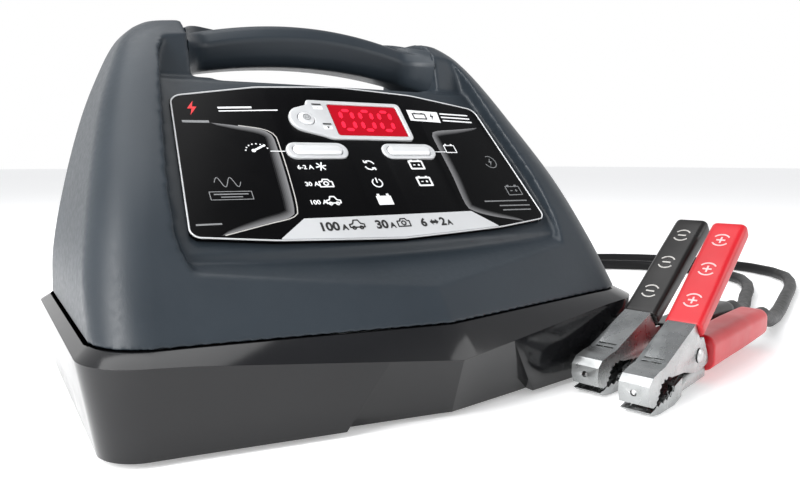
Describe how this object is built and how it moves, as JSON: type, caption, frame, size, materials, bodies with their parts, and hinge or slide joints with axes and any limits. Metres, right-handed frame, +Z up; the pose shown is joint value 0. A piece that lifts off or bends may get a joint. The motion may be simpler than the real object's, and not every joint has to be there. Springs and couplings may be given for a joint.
{
  "type": "car battery charger",
  "caption": "Car battery charger: two-part plastic housing with a carrying handle, sloping control panel with sprung buttons, and spring clamps on leads.",
  "frame": {"origin": "middle of the charger's footprint at the level of its feet, leads and clamps left out", "axes": "+Z up, -Y towards the control panel's front, +X towards the charger's right seen from the front"},
  "size_m": [0.686, 0.4206, 0.2035],
  "materials": {
    "grey_plastic": "fine moulded grain, slate blue-grey",
    "black_gloss": "moulded, glossy",
    "black_matte": "moulded, matte",
    "foot_rubber": "matte",
    "black_rubber": "satin",
    "zinc_steel": "zinc plated",
    "silver_trim": "metallic silver paint",
    "silver_button": "metallic silver paint",
    "red_lens": "clear red, polished",
    "circuit_board": "solder mask",
    "lamination": "varnished steel sheets",
    "copper_winding": "enamelled copper wire",
    "aluminium": "extruded",
    "jaw_steel": "pressed and zinc plated",
    "black_vinyl": "dipped vinyl",
    "red_vinyl": "dipped vinyl"
  },
  "bodies": {
    "charger": {"battery_type_button_bezel": "silver_trim", "capacitor_front": "black_matte", "capacitor_rear": "black_matte", "control_board": "circuit_board", "control_panel": "black_gloss", "crank_relay": "black_matte", "display_bezel": "silver_trim", "display_lens": "red_lens", "fan_frame": "black_matte", "fan_grille": "black_matte", "foot_front_left": "foot_rubber", "foot_front_right": "foot_rubber", "foot_rear_left": "foot_rubber", "foot_rear_right": "foot_rubber", "handle_grip": "grey_plastic", "heat_sink": "aluminium", "led_display": "black_matte", "lower_housing": "black_gloss", "mains_inlet_gland": "black_rubber", "negative_cable_boot": "black_rubber", "negative_lead": "black_rubber", "negative_lower_grip": "black_vinyl", "negative_lower_jaw": "jaw_steel", "negative_rivet": "zinc_steel", "negative_spring": "zinc_steel", "negative_strain_relief": "black_rubber", "positive_cable_boot": "black_rubber", "positive_lead": "black_rubber", "positive_lower_grip": "red_vinyl", "positive_lower_jaw": "jaw_steel", "positive_rivet": "zinc_steel", "positive_spring": "zinc_steel", "positive_strain_relief": "black_rubber", "power_board": "circuit_board", "rate_button_bezel": "silver_trim", "rate_strip": "silver_trim", "rectifier": "black_matte", "screw_front_left": "zinc_steel", "screw_front_right": "zinc_steel", "screw_rear_left": "zinc_steel", "screw_rear_right": "zinc_steel", "thermal_breaker": "black_matte", "transformer_core": "lamination", "transformer_winding": "copper_winding", "upper_housing": "grey_plastic"},
    "display_button": {"display_button": "silver_button"},
    "rate_button": {"rate_button": "silver_button"},
    "battery_type_button": {"battery_type_button": "silver_button"},
    "fan_rotor": {"fan_rotor": "black_matte"},
    "negative_upper_half": {"negative_upper_jaw": "jaw_steel", "negative_upper_grip": "black_vinyl"},
    "positive_upper_half": {"positive_upper_jaw": "jaw_steel", "positive_upper_grip": "red_vinyl"}
  },
  "joints": [
    {"name": "display_button_press", "type": "slide", "parent": "charger", "child": "display_button", "axis": [0, 0.7341, -0.679], "range_m": [0, 0.0012], "stiffness_N_per_m": 600, "springref_m": -0.001},
    {"name": "rate_button_press", "type": "slide", "parent": "charger", "child": "rate_button", "axis": [0, 0.7341, -0.679], "range_m": [0, 0.0012], "stiffness_N_per_m": 600, "springref_m": -0.001},
    {"name": "battery_type_button_press", "type": "slide", "parent": "charger", "child": "battery_type_button", "axis": [0, 0.7341, -0.679], "range_m": [0, 0.0012], "stiffness_N_per_m": 600, "springref_m": -0.001},
    {"name": "fan_spin", "type": "hinge", "parent": "charger", "child": "fan_rotor", "pos_m": [0.058, 0.09, 0.088], "axis": [0, 1, 0], "continuous": true},
    {"name": "negative_clamp_pivot", "type": "hinge", "parent": "charger", "child": "negative_upper_half", "pos_m": [0.13331, -0.10367, 0.0185], "axis": [-0.2215, 0.9751, 0], "range_deg": [0, 28], "stiffness_Nm_per_rad": 2, "springref_deg": -20.05, "deforming": ["negative_spring"]},
    {"name": "positive_clamp_pivot", "type": "hinge", "parent": "charger", "child": "positive_upper_half", "pos_m": [0.13009, -0.1338, 0.0185], "axis": [-0.2656, 0.9641, 0], "range_deg": [0, 28], "stiffness_Nm_per_rad": 2, "springref_deg": -20.05, "deforming": ["positive_spring"]}
  ]
}
